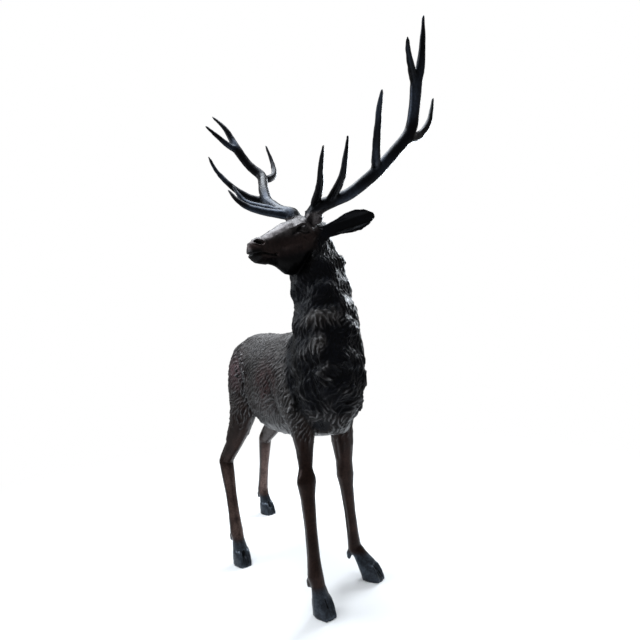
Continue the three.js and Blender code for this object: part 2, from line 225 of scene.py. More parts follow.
# The antlers' centre lines in the head's frame, for the left antler, and how far out, ahead and up
# the right antler's points stand from their mirror.
ANTLER_LINES = (
    ((56, 10, 2, 0, 0, -6), (90, 14, 26, -15, -10, 0), (131, 9, 36, -15, -10, 5),
     (180, -12, 46, -10, -10, 15), (226, -36, 56, -10, -10, 25), (282, -74, 88, 0, 0, 30),
     (339, -117, 130, -5, 0, 40), (400, -174, 192, -10, -5, 30), (456, -214, 252, -15, -15, 15),
     (491, -212, 333, 5, 5, 5), (526, -192, 418, 10, 10, 15), (555, -184, 465, 0, 0, 15),
     (583, -169, 533, -5, 0, 15), (613, -144, 615, 5, 0, -5)),
    ((80, 18, 20, 0, 0, 0), (104, 36, 54, 10, 10, -15), (153, 68, 84, 20, 15, -20),
     (203, 106, 122, 20, 15, -25), (246, 141, 172, 10, 5, -35), (294, 166, 234, -5, -15, -50)),
    ((140, 0, 36, 0, 0, 5), (172, 8, 58, 10, 10, 10), (231, 31, 94, 10, 10, 0),
     (279, 52, 133, 10, 10, -10), (314, 69, 184, 5, 0, -20), (351, 81, 254, -5, -15, -45)),
    ((326, -122, 118, -20, 20, 5), (345, -98, 150, 10, 10, -15), (373, -60, 175, 10, 5, -20),
     (421, -15, 249, 10, 5, -35), (470, 21, 330, 10, 5, -30), (506, 48, 374, -5, -5, 5)),
    ((454, -196, 230, -20, -20, 15), (458, -250, 234, -30, -25, 15), (464, -297, 247, -30, -25, 25),
     (482, -352, 295, -15, -10, 35), (490, -404, 387, 15, 25, 50)),
    ((518, -204, 398, 5, 10, 15), (530, -166, 442, 5, 5, -10), (542, -136, 462, 5, 5, -5),
     (561, -91, 499, 0, 5, 5), (584, -52, 538, -5, 0, 10)),
)
BEAM_REACH_MM = 14


def bent_smooth(places, line):
    """How far a smooth curve through a line's points stands from its straight runs, and how near
    each place is to them."""
    ends = np.vstack([2 * line[0] - line[1], line, 2 * line[-1] - line[-2]])
    nearest = np.full(len(places), FAR)
    shift = np.zeros_like(places)
    for k in range(len(line) - 1):
        p0, p1, p2, p3 = ends[k:k + 4]
        t = np.clip((places - p1) @ (p2 - p1) / ((p2 - p1) @ (p2 - p1)), 0, 1)[:, None]
        straight = p1 + t * (p2 - p1)
        curve = 0.5 * (2 * p1 + (p2 - p0) * t + (2 * p0 - 5 * p1 + 4 * p2 - p3) * t ** 2
                       + (3 * p1 - p0 - 3 * p2 + p3) * t ** 3)
        gap = np.linalg.norm(places - straight, axis=1)
        closer = gap < nearest
        nearest[closer] = gap[closer]
        shift[closer] = (curve - straight)[closer]
    return shift, nearest


def antlers_bent(points, share):
    """Moves the antlers' points, where `share` is above 0, onto smooth curves."""
    chosen = np.flatnonzero(share > 0)
    places = on_head(points[chosen])
    hand = np.sign(places[:, 0])
    places[:, 0] *= hand
    total, weight = np.zeros_like(places), np.full(len(places), 1e-9)
    for row in ANTLER_LINES:
        line = np.array(row, float)
        for side in (1, -1):
            shift, gap = bent_smooth(places, line[:, :3] + (side < 0) * line[:, 3:])
            pull = np.exp(-(gap / BEAM_REACH_MM) ** 2) * (hand == side)
            total += pull[:, None] * shift
            weight += pull
    total /= weight[:, None]
    total[:, 0] *= hand
    points[chosen] += share[chosen, None] * MM * total @ HEAD_AXES


def casting_form():
    """The smooth casting: broad forms from the coarse skin, slim ones from the fine skin."""
    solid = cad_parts["stag"].data.copy()
    welded = bmesh.new()
    welded.from_mesh(solid)
    bmesh.ops.remove_doubles(welded, verts=welded.verts, dist=0.01 * MM)
    welded.to_mesh(solid)
    welded.free()

    coarse = voxel_skin(solid.copy(), COARSE_PITCH)
    points = eased(points_of(coarse), edges_of(coarse), COARSE_ROUNDS)
    move_points(coarse, points)
    points += COARSE_SWELL * normals_of(coarse)
    move_points(coarse, points)

    fine = voxel_skin(solid, FINE_PITCH)
    wrap_target = object_of("coarse", coarse)
    wrapper = object_of("wrapped", fine.copy())
    shrinkwrap = wrapper.modifiers.new("wrap", "SHRINKWRAP")
    shrinkwrap.target = wrap_target
    wrapped = points_of(evaluated(wrapper))
    bpy.data.objects.remove(wrap_target)

    points, edges = points_of(fine), edges_of(fine)
    part = regions(points)
    broad = np.maximum(part["mane"], part["trunk"]) * (1 - ramp(-points[:, 2], -0.86, -0.72))
    points = points + broad[:, None] * (wrapped - points)
    antlers_bent(points, part["antler"] * ramp(on_head(points)[:, 2], 18, 45))
    points = relaxed(points, edges, np.ones(len(points)), FINE_ROUNDS)
    part["leg"] *= ramp(points[:, 2], 0.02, 0.06)
    slim = np.maximum.reduce([part["antler"], part["ear"], part["leg"]])
    points = relaxed(points, edges, slim, SLIM_ROUNDS)
    move_points(fine, points)
    swell = sum(height * part[name] for name, height in SWELLS_MM)
    points += (swell * MM)[:, None] * normals_of(fine)
    move_points(fine, points)
    return fine


casting = casting_form()

# ---- Muscle and bone ----
# The big forms under the coat, raised and carved in the smooth casting: the fold between haunch and
# flank, the swell of haunch and shoulder, the folds at the elbow and the mane's edge, and the nape.


def distance_to(path, points):
    """Distance from each point to a line through `path`, and how far along that line it is, 0 to 1."""
    path = np.asarray(path, float)
    best = np.full(len(points), FAR)
    share = np.zeros(len(points))
    for k in range(len(path) - 1):
        span = path[k + 1] - path[k]
        t = np.clip((points - path[k]) @ span / (span @ span), 0, 1)
        gap = np.linalg.norm(points - path[k] - t[:, None] * span, axis=1)
        nearer = gap < best
        best[nearer] = gap[nearer]
        share[nearer] = ((k + t) / (len(path) - 1))[nearer]
    return best, share


def pressed(points, normals, path, height, width, fade=0.15):
    """Raises the surface along a line by `height`, or carves it where that is negative."""
    gap, share = distance_to(path, points)
    ends = ramp(share, -0.001, fade) * (1 - ramp(share, 1 - fade, 1.001)) if fade else 1
    return points + (height * np.exp(-(gap / width) ** 2) * ends)[:, None] * normals


def both_sides(path):
    return [path, [(-x, y, z) for x, y, z in path]]


# Lines over the left side as [x, y, z] in metres. All but the nape lie on the right side too.
HAUNCH_FOLD = [(0.100, 0.43, 1.12), (0.150, 0.32, 1.05), (0.172, 0.24, 0.96), (0.160, 0.24, 0.87),
               (0.145, 0.24, 0.81), (0.126, 0.215, 0.76)]
FLANK_HOLLOW = [(0.165, 0.20, 1.04), (0.185, 0.15, 0.93), (0.16, 0.13, 0.80)]
HAUNCH_SWELL = [(0.140, 0.42, 1.04), (0.165, 0.36, 0.95), (0.165, 0.34, 0.86)]
SHOULDER_SWELL = [(0.165, -0.16, 1.06), (0.18, -0.17, 0.95), (0.17, -0.2, 0.86)]
MANE_EDGE = [(0.135, -0.27, 1.19), (0.168, -0.29, 1.11), (0.176, -0.30, 0.99), (0.17, -0.29, 0.92),
             (0.155, -0.28, 0.86), (0.13, -0.27, 0.80)]
ELBOW_FOLD = [(0.185, -0.06, 1.0), (0.185, -0.08, 0.90), (0.16, -0.11, 0.80), (0.12, -0.13, 0.74)]
NAPE = [(0.035, -0.305, 1.63), (0.050, -0.312, 1.58), (0.062, -0.322, 1.53), (0.07, -0.33, 1.47)]
MUSCLES = (
    # line, height, width
    (HAUNCH_FOLD, -20 * MM, 14 * MM),
    (MANE_EDGE, -9 * MM, 13 * MM),
    (FLANK_HOLLOW, -9 * MM, 60 * MM),
    (HAUNCH_SWELL, 7 * MM, 60 * MM),
    (SHOULDER_SWELL, 7 * MM, 50 * MM),
    (ELBOW_FOLD, -8 * MM, 20 * MM),
)


def muscled(mesh):
    points, normals = points_of(mesh), normals_of(mesh)
    points = pressed(points, normals, NAPE, height=13 * MM, width=30 * MM)
    for path, height, width in MUSCLES:
        for side in both_sides(path):
            points = pressed(points, normals, side, height, width)
    move_points(mesh, points)


muscled(casting)

# ---- Coat ----
# The founder modelled the hair in the wax: long overlapping locks round the neck and chest, and
# short combed tufts on the body. Each is a low closed form sunk into the skin, and all of them run
# with the lie of the hair before they are fused with the casting.


def set_attribute(mesh, name, values):
    kind, field = ("FLOAT_VECTOR", "vector") if values.ndim == 2 else ("FLOAT", "value")
    attribute = mesh.attributes.get(name) or mesh.attributes.new(name, kind, "POINT")
    attribute.data.foreach_set(field, values.astype(np.float32).ravel())


def lock_mesh(name, length, width, height, strands, bend, sway):
    """A tapering lock lying along X: its root sunk, its tip raised, grooved between its strands."""
    rows, columns = 10, 4 * strands + 1
    points = []
    for i in range(rows):
        s = i / (rows - 1)
        half = width / 2 * math.sin(math.pi * (0.14 + 0.84 * s ** 0.9)) ** 0.8
        middle = bend * (2 * s - 1) ** 2 + sway * math.sin(2 * math.pi * s)
        rise = height * (float(ramp(s, -0.1, 0.75)) - 0.25) * (1 - 0.45 * float(ramp(s, 0.8, 1.0)))
        for j in range(columns):
            q = 2 * j / (columns - 1) - 1
            crest = math.cos(0.5 * math.pi * q) ** 0.7 if abs(q) < 1 else 0
            groove = 0.5 - 0.5 * math.cos(math.pi * strands * (q + 1))
            z = rise * (crest - 0.38 * (1 - groove) * (0 < j < columns - 1)) - 0.3 * height * (1 - crest)
            points.append(((s - 0.5) * length, middle + q * half, z))
    top = len(points)
    points += [(x, y, -height * 1.6) for x, y, z in points]
    faces = []
    for i in range(rows - 1):
        for j in range(columns - 1):
            a = i * columns + j
            b = a + columns
            faces.append((a, b, b + 1, a + 1))
            faces.append((top + a + 1, top + b + 1, top + b, top + a))
    rim = list(range(columns))
    rim += [i * columns + columns - 1 for i in range(1, rows)]
    rim += [(rows - 1) * columns + j for j in range(columns - 2, -1, -1)]
    rim += [i * columns for i in range(rows - 2, 0, -1)]
    for a, b in zip(rim, rim[1:] + rim[:1]):
        faces.append((a, b, top + b, top + a))
    mesh = bpy.data.meshes.new(name)
    mesh.from_pydata(points, [], faces)
    tidy = bmesh.new()
    tidy.from_mesh(mesh)
    bmesh.ops.recalc_face_normals(tidy, faces=tidy.faces)
    tidy.to_mesh(mesh)
    tidy.free()
    across = np.array([(y - bend * (2 * x / length) ** 2) / MM for x, y, _ in points])
    set_attribute(mesh, "strand", across)
    return mesh


WAVES = 9
WAVES_TO_ONE = 2.6


def wander(points, scale, seed):
    """A smooth random value from about -1 to 1, which changes over `scale` metres."""
    dice = np.random.default_rng(seed)
    total = np.zeros(len(points))
    for _ in range(WAVES):
        way = dice.normal(size=3)
        way /= np.linalg.norm(way)
        pace = 2 * math.pi / scale
        total += np.sin(points @ way * pace * dice.uniform(0.6, 1.6) + dice.uniform(0, 6.3))
    return total / WAVES_TO_ONE


def unit(vectors):
    return vectors / np.maximum(np.linalg.norm(vectors, axis=1, keepdims=True), 1e-9)


LUMP_SPAN = 0.15
LUMP_HEIGHT_MM = 7


def combed(mesh):
    """Writes the lie of the hair, and how much coat there is, onto the mesh."""
    points, normals = points_of(mesh), normals_of(mesh)
    part = regions(points)
    lumps = wander(points, LUMP_SPAN, 11) * LUMP_HEIGHT_MM * MM * part["mane"]
    points += lumps[:, None] * normals
    move_points(mesh, points)
    x, y, z = points.T
    back = ramp(normals[:, 2], 0.3, 0.95)
    low = 1 - ramp(z, 0.62, 0.86)
    body = np.stack([0.35 * np.sign(x) * back, 1 - 0.7 * low, -0.85 - 0.5 * low], 1)
    neck = np.stack([0 * x, 0.12 + 0 * x, -1 + 0 * x], 1)
    mane = part["mane"][:, None]
    grain = body * (1 - mane) + neck * mane
    grain = unit(grain - (grain * normals).sum(1)[:, None] * normals)
    swirl = wander(points, 0.26, 5) * (0.5 * part["mane"] + 0.12)
    lower_haunch = ramp(y, 0.2, 0.35) * (1 - ramp(z, 0.9, 1.05))
    swirl += wander(points, 0.11, 8) * (0.25 * part["mane"] + 0.12 + 0.4 * lower_haunch)
    across = np.cross(normals, grain)
    grain = grain * np.cos(swirl)[:, None] + across * np.sin(swirl)[:, None]
    set_attribute(mesh, "grain", grain)
    upward = 1 - ramp(-normals[:, 2], 0.55, 0.9)
    set_attribute(mesh, "mane", part["mane"] * ramp(z, 0.72, 0.8) * upward)
    bare = np.maximum.reduce([part["mane"], part["head"], part["ear"], part["antler"]])
    set_attribute(mesh, "coat", (1 - bare) * ramp(z, 0.62, 0.80) * (0.3 + 0.7 * upward))
    size = (0.5 + 0.5 * (1 - ramp(z, 1.2, 1.55))) * (0.55 + 0.45 * ramp(z, 0.68, 0.9))
    set_attribute(mesh, "size", size)


def add(tree, kind, links=(), **settings):
    """A node with its settings; `links` maps an input's name or number to a socket or a value."""
    node = tree.nodes.new(kind)
    for name, value in settings.items():
        setattr(node, name, value)
    for key, source in dict(links).items():
        socket = node.inputs[key]
        if isinstance(source, bpy.types.NodeSocket):
            tree.links.new(source, socket)
        else:
            socket.default_value = source
    return node


def new_tree(name, *numbers):
    """A geometry tree that takes and gives a Geometry, and takes the [name, kind] numbers too."""
    tree = bpy.data.node_groups.new(name, "GeometryNodeTree")
    for socket, kind in (("Geometry", "Geometry"), *numbers):
        tree.interface.new_socket(socket, in_out="INPUT", socket_type="NodeSocket" + kind)
    tree.interface.new_socket("Geometry", in_out="OUTPUT", socket_type="NodeSocketGeometry")
    return tree


MOST_PER_M2 = 60000.0
LEAST_SCALE, MOST_SCALE = 0.75, 1.2


def named(tree, name, kind="FLOAT"):
    return add(tree, "GeometryNodeInputNamedAttribute", {"Name": name}, data_type=kind).outputs["Attribute"]


def coat_tree(name, mask, variants):
    """Sets locks over a skin: Spacing, Turn and Seed are its inputs, and the skin's own marks steer it."""
    tree = new_tree(name, ("Spacing", "Float"), ("Turn", "Float"), ("Seed", "Int"))
    inputs = tree.nodes.new("NodeGroupInput")
    skin, spacing, turn, seed = (inputs.outputs[k] for k in range(4))

    def chance(low, high):
        return add(tree, "FunctionNodeRandomValue", {
            "Min": low, "Max": high, "Seed": seed}, data_type="FLOAT").outputs["Value"]

    spread = add(tree, "GeometryNodeDistributePointsOnFaces", {
        "Mesh": skin, "Distance Min": spacing, "Density Max": MOST_PER_M2,
        "Density Factor": named(tree, mask), "Seed": seed}, distribute_method="POISSON")
    lie = add(tree, "FunctionNodeAxesToRotation", {
        "Primary Axis": spread.outputs["Normal"], "Secondary Axis": named(tree, "grain", "FLOAT_VECTOR")},
        primary_axis="Z", secondary_axis="X")
    less = add(tree, "ShaderNodeMath", {0: turn, 1: -1.0}, operation="MULTIPLY")
    turned = add(tree, "ShaderNodeCombineXYZ", {"Z": chance(less.outputs[0], turn)})
    euler = add(tree, "FunctionNodeEulerToRotation", {0: turned.outputs[0]})
    rotation = add(tree, "FunctionNodeRotateRotation", {
        "Rotation": lie.outputs[0], "Rotate By": euler.outputs[0]}, rotation_space="LOCAL")
    stock = tree.nodes.new("GeometryNodeJoinGeometry")
    for variant in variants:
        shape = add(tree, "GeometryNodeObjectInfo", {"Object": variant, "As Instance": True})
        tree.links.new(shape.outputs["Geometry"], stock.inputs[0])
    sized = add(tree, "ShaderNodeMath", {
        0: chance(LEAST_SCALE, MOST_SCALE), 1: named(tree, "size")}, operation="MULTIPLY")
    locks = add(tree, "GeometryNodeInstanceOnPoints", {
        "Points": spread.outputs["Points"], "Instance": stock.outputs[0], "Pick Instance": True,
        "Rotation": rotation.outputs[0], "Scale": sized.outputs[0]})
    toned = add(tree, "GeometryNodeStoreNamedAttribute", {
        "Geometry": locks.outputs[0], "Name": "tone", "Value": chance(0.0, 1.0)},
        data_type="FLOAT", domain="INSTANCE")
    real = add(tree, "GeometryNodeRealizeInstances", {0: toned.outputs[0]})
    joined = tree.nodes.new("GeometryNodeJoinGeometry")
    tree.links.new(real.outputs[0], joined.inputs[0])
    tree.links.new(skin, joined.inputs[0])
    cast = add(tree, "GeometryNodeSetMaterial", {"Geometry": joined.outputs[0], "Material": bronze})
    out = tree.nodes.new("NodeGroupOutput")
    tree.links.new(cast.outputs[0], out.inputs[0])
    return tree


def give_coat(piece, tree, **values):
    layer = piece.modifiers.new(tree.name, "NODES")
    layer.node_group = tree
    for item in tree.interface.items_tree:
        if item.in_out == "INPUT" and item.name in values:
            layer[item.identifier] = values[item.name]


# How each variant of a lock bends and sways, as shares of its length.
VARIANTS = ((0.06, 0.03), (-0.07, 0.02), (0.02, -0.06), (-0.03, 0.06))


def variants_of(name, length, width, height, strands):
    made = []
    for k, (bend, sway) in enumerate(VARIANTS):
        mesh = lock_mesh(f"{name}_{k}", length, width, height, strands, bend * length, sway * length)
        made.append(object_of(f"{name}_{k}", mesh))
    return made


LEGS = (
    # upper joint, knee or hock, fetlock, middle of the hoof, heading
    ((-0.105, -0.249, 0.745), (-0.128, -0.287, 0.535), (-0.138, -0.336, 0.160), (-0.121, -0.359, 0), 2),
    ((0.113, -0.229, 0.740), (0.130, -0.210, 0.500), (0.177, -0.188, 0.132), (0.213, -0.260, 0), 19),
    ((-0.121, 0.361, 0.790), (-0.187, 0.503, 0.480), (-0.211, 0.345, 0.150), (-0.213, 0.281, 0), 0),
    ((0.135, 0.436, 0.775), (0.171, 0.737, 0.505), (0.191, 0.859, 0.145), (0.195, 0.815, 0), 6),
)

# A hoof's sections from the ground up, in millimetres: height, half width, reach ahead and behind.
HOOF = ((0, 43, 61, 37), (12, 46, 61, 39), (38, 44, 52, 37), (66, 39, 42, 33), (94, 34, 33, 29),
        (120, 30, 27, 27))
HOOF_SIDES = 40
HOOF_LEAN = 1.25


def leg_axes(heading):
    """The level directions out to the stag's left and ahead, for a foot turned by `heading` degrees."""
    turn = math.radians(heading)
    out = np.array([math.cos(turn), math.sin(turn), 0])
    ahead = np.array([math.sin(turn), -math.cos(turn), 0])
    return out, ahead


def hoof_form(fetlock, hoof, heading):
    """One rounded foot, from its sole to the fetlock. Its cleft is carved later."""
    out, ahead = leg_axes(heading)
    rows = []
    for height, wide, front, behind in HOOF:
        lean = (height * MM / fetlock[2]) ** HOOF_LEAN
        middle = hoof + lean * (fetlock - hoof)
        middle[2] = height * MM
        for k in range(HOOF_SIDES):
            angle = 2 * math.pi * k / HOOF_SIDES
            forward = math.sin(angle)
            narrow = 1 - 0.22 * max(forward, 0) ** 2
            reach = front if forward > 0 else behind
            rows.append(middle + MM * (wide * narrow * math.cos(angle) * out + reach * forward * ahead))
    faces = [tuple(range(HOOF_SIDES))[::-1], tuple(range(len(rows) - HOOF_SIDES, len(rows)))]
    for i in range(len(HOOF) - 1):
        for k in range(HOOF_SIDES):
            a = i * HOOF_SIDES + k
            b = i * HOOF_SIDES + (k + 1) % HOOF_SIDES
            faces.append((a, b, b + HOOF_SIDES, a + HOOF_SIDES))
    mesh = bpy.data.meshes.new("hoof")
    mesh.from_pydata([tuple(place) for place in rows], [], faces)
    return mesh


def with_hooves(mesh):
    """Adds the four rounded feet to the mesh, each still a closed form of its own."""
    joined = bmesh.new()
    joined.from_mesh(mesh)
    for _, _, fetlock, hoof, heading in LEGS:
        joined.from_mesh(hoof_form(np.array(fetlock), np.array(hoof), heading))
    joined.to_mesh(mesh)
    joined.free()


def coated(mesh):
    """The skin with every lock and tuft set on it, each still a closed form of its own."""
    combed(mesh)
    locks = variants_of("lock", length=82 * MM, width=24 * MM, height=10 * MM, strands=3)
    tufts = variants_of("tuft", length=80 * MM, width=13 * MM, height=8 * MM, strands=1)
    piece = object_of("coated", mesh)
    give_coat(piece, coat_tree("mane locks", "mane", locks), Spacing=19 * MM, Turn=0.45, Seed=3)
    give_coat(piece, coat_tree("body tufts", "coat", tufts), Spacing=17.5 * MM, Turn=0.16, Seed=4)
    coat = evaluated(piece)
    for shape in locks + tufts:
        bpy.data.objects.remove(shape)
    return coat


coat = coated(casting)
with_hooves(coat)
casting = voxel_skin(coat.copy(), FINE_PITCH)


def one_body(mesh):
    """Keeps the outer skin alone, without the sealed pockets that fused locks leave."""
    edges = edges_of(mesh)
    label = np.arange(len(mesh.vertices))
    while True:
        ends = label[edges]
        lowest = ends.min(axis=1)
        np.minimum.at(label, ends[:, 0], lowest)
        np.minimum.at(label, ends[:, 1], lowest)
        label = label[label]
        if (label[edges[:, 0]] == label[edges[:, 1]]).all():
            break
    names, counts = np.unique(label, return_counts=True)
    kept = label == names[counts.argmax()]
    corners = np.empty(len(mesh.loops), np.int32)
    mesh.loops.foreach_get("vertex_index", corners)
    quads = corners.reshape(-1, 4)
    number = np.cumsum(kept) - 1
    whole = bpy.data.meshes.new(mesh.name)
    whole.from_pydata(points_of(mesh)[kept], [], number[quads[kept[quads[:, 0]]]])
    return whole


casting = one_body(casting)


BARE_ROUNDS = 30
EAR_ROUNDS = 140


def chased(mesh):
    """Rubs the bare bronze smooth where the fusing left steps, and leaves it faintly uneven."""
    points, edges = points_of(mesh), edges_of(mesh)
    part = regions(points)
    z = points[:, 2]
    bare = np.maximum.reduce([part["antler"], part["ear"], part["head"], 1 - ramp(z, 0.6, 0.66)])
    bare *= ramp(z, 0.001, 0.012)
    points = relaxed(points, edges, bare, BARE_ROUNDS)
    points = relaxed(points, edges, part["ear"], EAR_ROUNDS)
    rough = 0.7 * MM * wander(points, 0.045, 31) + 0.4 * MM * wander(points, 0.022, 32)
    rough *= np.maximum(part["head"], 0.6 * part["antler"])
    move_points(mesh, points + rough[:, None] * normals_of(mesh))


chased(casting)

# ---- Head ----
# The face is smooth bronze, modelled by hand: a heavy brow over a lidded eye, the tear gland in
# front of it, cheekbone and jaw, an oval nostril and the closed line of the mouth. Its forms are
# given on the side of the head, as [ahead, up] of the poll in millimetres, and lie on both sides.
EYE_AT, EYE_HALF, EYE_TILT = (98, -51), (25, 17), -8
NOSTRIL_AT, NOSTRIL_HALF, NOSTRIL_TILT = (333, -66), (19, 10), -22
MOUTH = [(380, -108), (356, -109), (340, -110), (325, -113), (304, -120), (285, -127), (256, -134)]
FACE_LINES = (
    # points, height, width
    ([(132, -34), (112, -22), (92, -22), (72, -32), (60, -48)], 4.5, 8),
    ([(126, -42), (114, -32), (98, -29), (82, -35), (71, -48), (67, -62)], -7, 4.5),
    ([(122, -51), (110, -42), (97, -40), (84, -46), (76, -58)], 3, 3.2),
    ([(124, -60), (112, -69), (96, -73), (80, -72), (70, -65)], 4.5, 5),
    ([(121, -56), (108, -63), (94, -66), (80, -64)], -4, 2.8),
    ([(57, -36), (54, -52), (57, -70)], 3.5, 8),
    ([(72, -96), (120, -98), (170, -104), (215, -104)], 4, 13),
    ([(150, -126), (200, -130), (245, -122)], -5, 22),
    ([(112, -150), (128, -156)], 6, 40),
    ([(112, -82), (106, -91)], -5, 7),
    ([(250, -82), (300, -86)], -3, 14),
    (MOUTH, -6, 2.6),
    ([(352, -119), (318, -124), (288, -134), (262, -140)], 2.5, 6),
    ([(366, -98), (330, -100), (295, -112), (262, -122)], 2.5, 8),
    ([(262, -128), (252, -140)], -4, 7),
    ([(352, -138), (330, -143)], 2, 12),
)


def line_gap(path, places):
    """Distance in the plane from each place to a line through `path`."""
    best = np.full(len(places), FAR)
    for a, b in zip(np.array(path[:-1], float), np.array(path[1:], float)):
        t = np.clip((places - a) @ (b - a) / ((b - a) @ (b - a)), 0, 1)
        best = np.minimum(best, np.linalg.norm(places - a - t[:, None] * (b - a), axis=1))
    return best


def oval_share(middle, half, tilt, places):
    """How far out each place is from the middle of an oval, as a share of its radius there."""
    turn = math.radians(tilt)
    offset = places - np.array(middle)
    along = offset @ (math.cos(turn), -math.sin(turn))
    over = offset @ (math.sin(turn), math.cos(turn))
    return np.hypot(along / half[0], over / half[1])


def face_relief(places):
    """How far the face stands out, in millimetres, at each [left, ahead, up] of the poll."""
    side = places[:, 1:]
    relief = np.zeros(len(places))
    for path, height, width in FACE_LINES:
        relief += height * np.exp(-(line_gap(path, side) / width) ** 2)
    eye = oval_share(EYE_AT, EYE_HALF, EYE_TILT, side)
    relief += 8 * np.sqrt(np.clip(1 - eye ** 2, 0, 1))
    relief -= 3 * (1 - ramp(oval_share((101, -54), (13, 7.5), EYE_TILT, side), 0.75, 1.05))
    relief -= 6 * np.exp(-oval_share((112, -46), (52, 30), 10, side) ** 2)
    relief -= 8 * np.exp(-oval_share((144, -53), (26, 12), 24, side) ** 2)
    nostril = oval_share(NOSTRIL_AT, NOSTRIL_HALF, NOSTRIL_TILT, side)
    outer = ramp(np.abs(places[:, 0]), 9, 15)
    relief -= 13 * (1 - ramp(nostril, 0.55, 1.08)) * outer
    relief += 3 * np.exp(-((nostril - 1.25) / 0.22) ** 2) * outer
    return relief


def subdivide(mesh, wanted):
    """Cuts in four the faces whose points are all wanted, so that fine forms have points to move."""
    finer = bmesh.new()
    finer.from_mesh(mesh)
    finer.verts.ensure_lookup_table()
    edges = [edge for edge in finer.edges if all(wanted[vert.index] for vert in edge.verts)]
    bmesh.ops.subdivide_edges(finer, edges=edges, cuts=1, use_grid_fill=True)
    finer.to_mesh(mesh)
    finer.free()


EASING_ROUNDS = 2
EASING = 0.35


def faced(mesh):
    """Models the face in the bare head, on a finer mesh round the eyes, nostrils and mouth."""
    places = on_head(points_of(mesh))
    side = places[:, 1:]
    on_face = regions(points_of(mesh))["head"] > 0.05
    fine = oval_share(EYE_AT, (50, 36), 0, side) < 1
    fine |= oval_share(NOSTRIL_AT, (32, 24), 0, side) < 1
    fine |= line_gap(MOUTH, side) < 11
    subdivide(mesh, fine & on_face)
    points = points_of(mesh)
    near = np.flatnonzero(regions(points)["head"] > 0.02)
    share = regions(points[near])["head"]
    relief = face_relief(on_head(points[near])) * share * MM
    points[near] += relief[:, None] * normals_of(mesh)[near]
    easing = np.zeros((len(points), 1))
    easing[near] = EASING
    move_points(mesh, eased(points, edges_of(mesh), EASING_ROUNDS, easing))


faced(casting)

# ---- Ears ----
# Each ear is a leaf-shaped shell that stands out level from the head. Its edges curl forward, and
# three soft ribs run down its hollow.
EAR_HALF_WIDTH = 46
EAR_FRONT = (0.69, 0.73)


def ears_ribbed(mesh):
    points, normals = points_of(mesh), normals_of(mesh)
    chosen = np.flatnonzero(regions(points)["ear"] > 0.02)
    places = on_head(points[chosen])
    side = np.sign(places[:, :1])
    places = places * np.hstack([side, np.ones((len(side), 2))])
    along = (places - EAR_BASE) @ EAR_AXIS / (EAR_AXIS @ EAR_AXIS)
    over = (places - EAR_BASE - along[:, None] * EAR_AXIS)[:, 2] / EAR_HALF_WIDTH
    facing = normals[chosen] @ HEAD_AXES.T
    front = ramp(facing[:, 0] * side[:, 0] * EAR_FRONT[0] + facing[:, 1] * EAR_FRONT[1], 0.1, 0.5)
    body = ramp(along, 0.12, 0.4) * (1 - ramp(along, 0.85, 1.0))
    ribs = 1.6 * np.cos(over * 3 * math.pi) * (1 - ramp(np.abs(over), 0.6, 0.85))
    hollow = -3.5 * (1 - ramp(np.abs(over), 0.3, 0.85))
    points[chosen] += (front * body * (ribs + hollow) * MM)[:, None] * normals[chosen]
    move_points(mesh, points)


ears_ribbed(casting)

# ---- Legs and hooves ----
# Slim and smooth: knees and hocks with bone under them, a hollow on each side of the tendon behind
# every cannon, a hollow or a muscle's edge above, and a cleft with a pit up the front of each hoof.
LEG_REACH = 0.11
CROWN = 0.075


def legs_modelled(mesh):
    points, normals = points_of(mesh), normals_of(mesh)
    for *places, heading in LEGS:
        upper, joint, fetlock, hoof = (np.array(place) for place in places)
        out, ahead = leg_axes(heading)
        near = np.flatnonzero(distance_to(places, points)[0] < LEG_REACH)
        shape, push = points[near], normals[near]
        hind = joint[1] - upper[1] > 0.1
        bone = np.array([joint + 0.12 * (fetlock - joint), fetlock - 0.16 * (fetlock - joint)])
        for hand in (-1, 1):
            groove = bone + (hand * 24 * out - 7 * ahead) * MM
            shape = pressed(shape, push, groove, height=-4.5 * MM, width=8 * MM)
            spot = joint + (hand * 36 * out + 4 * ahead) * MM
            knob = [spot, spot + (0, 0, 0.022)]
            shape = pressed(shape, push, knob, height=3.5 * MM, width=14 * MM, fade=0)
            spot = fetlock + (hand * 27 * out + 2 * ahead) * MM
            pastern = [spot, spot - (0, 0, 0.01)]
            shape = pressed(shape, push, pastern, height=2.5 * MM, width=15 * MM, fade=0)
            if hind:
                sinew = [joint + 0.12 * (upper - joint), joint + 0.42 * (upper - joint)]
                sinew = np.array(sinew) + (hand * 34 * out - 16 * ahead) * MM
                shape = pressed(shape, push, sinew, height=-9 * MM, width=16 * MM)
            else:
                muscle = [joint + 0.3 * (upper - joint), joint + 0.75 * (upper - joint)]
                muscle = np.array(muscle) + (hand * 44 * out - 4 * ahead) * MM
                shape = pressed(shape, push, muscle, height=-4 * MM, width=10 * MM)
        lean = ((CROWN / fetlock[2]) ** HOOF_LEAN) * (fetlock - hoof) * (1, 1, 0)
        top = hoof + lean + 39 * MM * ahead + (0, 0, CROWN)
        toe = hoof + 61 * MM * ahead + (0, 0, 0.004)
        cleft = [toe, 0.5 * (toe + top) + 3 * MM * ahead, top]
        shape = pressed(shape, push, cleft, height=-3.5 * MM, width=3.2 * MM, fade=0)
        pit = [top, 0.62 * top + 0.38 * toe + 3 * MM * ahead]
        shape = pressed(shape, push, pit, height=-8 * MM, width=6.5 * MM, fade=0)
        points[near] = shape
    points[:, 2] = np.maximum(points[:, 2], 0)
    move_points(mesh, points)


legs_modelled(casting)

# ---- Weight and fit ----
# The fused casting is marked with its crests and hollows and thinned to a weight that loads well.
# Then each lock's own marks are copied onto it, for the fine strands of the patina.
TRIANGLES = 196000
CREST_ROUNDS = 24
CREST_HEIGHT = 2.5 * MM
CREST_LIMIT = 1.5


